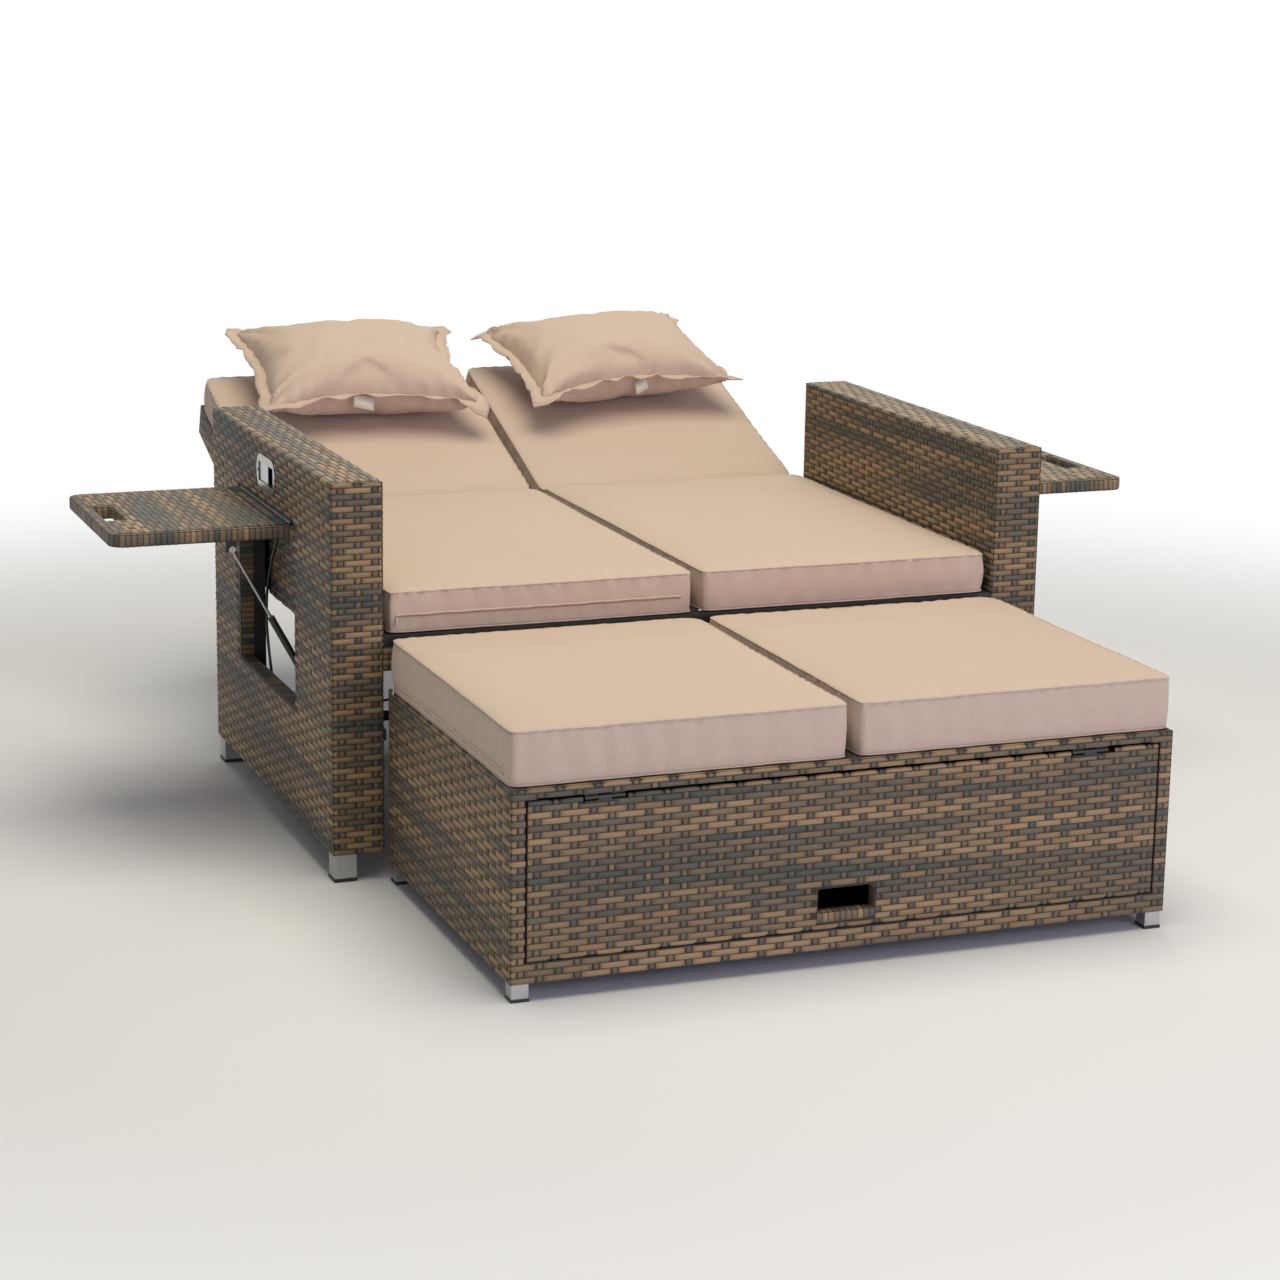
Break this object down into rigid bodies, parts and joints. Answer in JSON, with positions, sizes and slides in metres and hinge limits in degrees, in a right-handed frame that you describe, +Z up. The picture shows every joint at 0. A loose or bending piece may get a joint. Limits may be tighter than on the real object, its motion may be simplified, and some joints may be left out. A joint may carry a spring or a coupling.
{
  "type": "double chaise lounger",
  "caption": "Woven two-seat garden lounger: backs that recline one by one, a fold-down side table in each arm, a storage ottoman in front, and box cushions.",
  "frame": {"origin": "on the floor, under the middle of the whole piece with its backs down, its side tables out and the ottoman in place", "axes": "+X to the sitter's left as seen from the front (across the seat), +Y from the front to the back, +Z up"},
  "size_m": [1.85, 1.9456, 0.742],
  "materials": {
    "woven_polyethylene_strip": "round polyethylene strands, woven close, in drifting bands of tan, grey-brown and dark grey",
    "black_coated_steel": "black powder coat, satin",
    "brushed_aluminium_feet": "brushed along the sleeve",
    "black_glides": "moulded black nylon",
    "chromed_handle": "polished chrome on a die casting",
    "bright_steel": "ground bright steel",
    "black_rubber": "moulded black rubber",
    "cable_sheath": "black sheath, slightly glossy",
    "black_floor_panel": "black panel, fine grain",
    "cushion_cloth": "plain-woven outdoor polyester in a pinkish beige",
    "pillow_cloth": "plain-woven outdoor polyester in a pinkish beige, with a sewn flange"
  },
  "bodies": {
    "sofa": {"arm_wicker_left": "woven_polyethylene_strip", "arm_wicker_right": "woven_polyethylene_strip", "arm_frame_left": "black_coated_steel", "arm_frame_right": "black_coated_steel", "sofa_feet": "brushed_aluminium_feet", "sofa_foot_glides": "black_glides", "seat_frame": "black_coated_steel", "seat_slats": "black_coated_steel", "seat_apron_wicker": "woven_polyethylene_strip", "seat_frame_bolts": "bright_steel", "back_pivot_pins": "bright_steel", "rear_stretcher": "black_coated_steel", "ottoman_guide_pads": "black_rubber", "table_hinge_fixed_leaves": "black_coated_steel", "strut_foot_brackets": "black_coated_steel", "release_cup_left": "chromed_handle", "release_cup_right": "chromed_handle", "release_cup_screws": "chromed_handle", "release_cables": "cable_sheath"},
    "ottoman": {"ottoman_wicker": "woven_polyethylene_strip", "ottoman_frame": "black_coated_steel", "ottoman_floor": "black_floor_panel", "ottoman_feet": "brushed_aluminium_feet", "ottoman_foot_glides": "black_glides", "ottoman_cushion_left": "cushion_cloth", "ottoman_cushion_right": "cushion_cloth", "flap_hinge_fixed_leaves": "black_coated_steel"},
    "ottoman_flap": {"ottoman_flap_wicker": "woven_polyethylene_strip", "ottoman_flap_frame": "black_coated_steel", "flap_hinge_moving_leaves": "black_coated_steel"},
    "back_left": {"back_wicker_left": "woven_polyethylene_strip", "back_frame_left": "black_coated_steel", "back_spring_bracket_left": "black_coated_steel", "back_cushion_left": "cushion_cloth", "pillow_left": "pillow_cloth"},
    "seat_cushion_left": {"seat_cushion_left": "cushion_cloth"},
    "back_spring_cylinder_left": {"back_spring_cylinder_left": "black_coated_steel"},
    "back_spring_rod_left": {"back_spring_rod_left": "bright_steel"},
    "release_paddle_left": {"release_paddle_left": "chromed_handle"},
    "table_left": {"table_wicker_left": "woven_polyethylene_strip", "table_frame_left": "black_coated_steel", "table_hinge_moving_leaf_left": "black_coated_steel", "strut_head_bracket_left": "black_coated_steel"},
    "table_strut_cylinder_left": {"table_strut_cylinder_left": "black_coated_steel"},
    "table_strut_rod_left": {"table_strut_rod_left": "bright_steel"},
    "back_right": {"back_wicker_right": "woven_polyethylene_strip", "back_frame_right": "black_coated_steel", "back_spring_bracket_right": "black_coated_steel", "back_cushion_right": "cushion_cloth", "pillow_right": "pillow_cloth"},
    "seat_cushion_right": {"seat_cushion_right": "cushion_cloth"},
    "back_spring_cylinder_right": {"back_spring_cylinder_right": "black_coated_steel"},
    "back_spring_rod_right": {"back_spring_rod_right": "bright_steel"},
    "release_paddle_right": {"release_paddle_right": "chromed_handle"},
    "table_right": {"table_wicker_right": "woven_polyethylene_strip", "table_frame_right": "black_coated_steel", "table_hinge_moving_leaf_right": "black_coated_steel", "strut_head_bracket_right": "black_coated_steel"},
    "table_strut_cylinder_right": {"table_strut_cylinder_right": "black_coated_steel"},
    "table_strut_rod_right": {"table_strut_rod_right": "bright_steel"}
  },
  "joints": [
    {"name": "back_recline_right", "type": "hinge", "parent": "sofa", "child": "back_right", "pos_m": [0.265, 0.43418, 0.375], "axis": [1, 0, 0], "range_deg": [0, 55]},
    {"name": "seat_cushion_slide_right", "type": "slide", "parent": "sofa", "child": "seat_cushion_right", "axis": [0, -1, 0], "range_m": [0, 0.084]},
    {"name": "back_spring_swing_right", "type": "hinge", "parent": "sofa", "child": "back_spring_cylinder_right", "pos_m": [0.265, 0.42218, 0.095], "axis": [1, 0, 0], "range_deg": [0, 20.49]},
    {"name": "back_spring_slide_right", "type": "slide", "parent": "back_spring_cylinder_right", "child": "back_spring_rod_right", "axis": [0, 0.5967, 0.8024], "range_m": [0, 0.1101]},
    {"name": "release_pull_right", "type": "hinge", "parent": "sofa", "child": "release_paddle_right", "pos_m": [0.622, 0.09458, 0.597], "axis": [0, 0, 1], "range_deg": [0, 30], "stiffness_Nm_per_rad": 0.6},
    {"name": "table_fold_right", "type": "hinge", "parent": "sofa", "child": "table_right", "pos_m": [0.625, 0.06118, 0.542], "axis": [0, 1, 0], "range_deg": [0, 90]},
    {"name": "table_strut_swing_right", "type": "hinge", "parent": "sofa", "child": "table_strut_cylinder_right", "pos_m": [0.59, -0.10282, 0.258], "axis": [0, -1, 0], "range_deg": [0, 25.41]},
    {"name": "table_strut_slide_right", "type": "slide", "parent": "table_strut_cylinder_right", "child": "table_strut_rod_right", "axis": [-0.4756, 0, -0.8797], "range_m": [0, 0.1258]},
    {"name": "back_recline_left", "type": "hinge", "parent": "sofa", "child": "back_left", "pos_m": [-0.265, 0.43418, 0.375], "axis": [1, 0, 0], "range_deg": [0, 55]},
    {"name": "seat_cushion_slide_left", "type": "slide", "parent": "sofa", "child": "seat_cushion_left", "axis": [0, -1, 0], "range_m": [0, 0.084]},
    {"name": "back_spring_swing_left", "type": "hinge", "parent": "sofa", "child": "back_spring_cylinder_left", "pos_m": [-0.265, 0.42218, 0.095], "axis": [1, 0, 0], "range_deg": [0, 20.49]},
    {"name": "back_spring_slide_left", "type": "slide", "parent": "back_spring_cylinder_left", "child": "back_spring_rod_left", "axis": [0, 0.5967, 0.8024], "range_m": [0, 0.1101]},
    {"name": "release_pull_left", "type": "hinge", "parent": "sofa", "child": "release_paddle_left", "pos_m": [-0.622, 0.09458, 0.597], "axis": [0, 0, -1], "range_deg": [0, 30], "stiffness_Nm_per_rad": 0.6},
    {"name": "table_fold_left", "type": "hinge", "parent": "sofa", "child": "table_left", "pos_m": [-0.625, 0.06118, 0.542], "axis": [0, -1, 0], "range_deg": [0, 90]},
    {"name": "table_strut_swing_left", "type": "hinge", "parent": "sofa", "child": "table_strut_cylinder_left", "pos_m": [-0.59, -0.10282, 0.258], "axis": [0, 1, 0], "range_deg": [0, 25.41]},
    {"name": "table_strut_slide_left", "type": "slide", "parent": "table_strut_cylinder_left", "child": "table_strut_rod_left", "axis": [0.4756, 0, -0.8797], "range_m": [0, 0.1258]},
    {"name": "ottoman_slide", "type": "slide", "parent": "sofa", "child": "ottoman", "axis": [0, -1, 0], "range_m": [0, 0.45]},
    {"name": "ottoman_flap_lift", "type": "hinge", "parent": "ottoman", "child": "ottoman_flap", "pos_m": [0, -0.96932, 0.2965], "axis": [-1, 0, 0], "range_deg": [0, 90]}
  ],
  "couplings": [
    {"joint": "seat_cushion_slide_right", "follows": "back_recline_right", "m_per_rad": 0.0875},
    {"joint": "back_spring_swing_right", "follows": "back_recline_right", "ratio": 0.37244},
    {"joint": "back_spring_slide_right", "follows": "back_recline_right", "m_per_rad": 0.11456},
    {"joint": "table_strut_swing_right", "follows": "table_fold_right", "ratio": 0.2822},
    {"joint": "table_strut_slide_right", "follows": "table_fold_right", "m_per_rad": 0.08002},
    {"joint": "seat_cushion_slide_left", "follows": "back_recline_left", "m_per_rad": 0.0875},
    {"joint": "back_spring_swing_left", "follows": "back_recline_left", "ratio": 0.37244},
    {"joint": "back_spring_slide_left", "follows": "back_recline_left", "m_per_rad": 0.11456},
    {"joint": "table_strut_swing_left", "follows": "table_fold_left", "ratio": 0.2822},
    {"joint": "table_strut_slide_left", "follows": "table_fold_left", "m_per_rad": 0.08002}
  ]
}
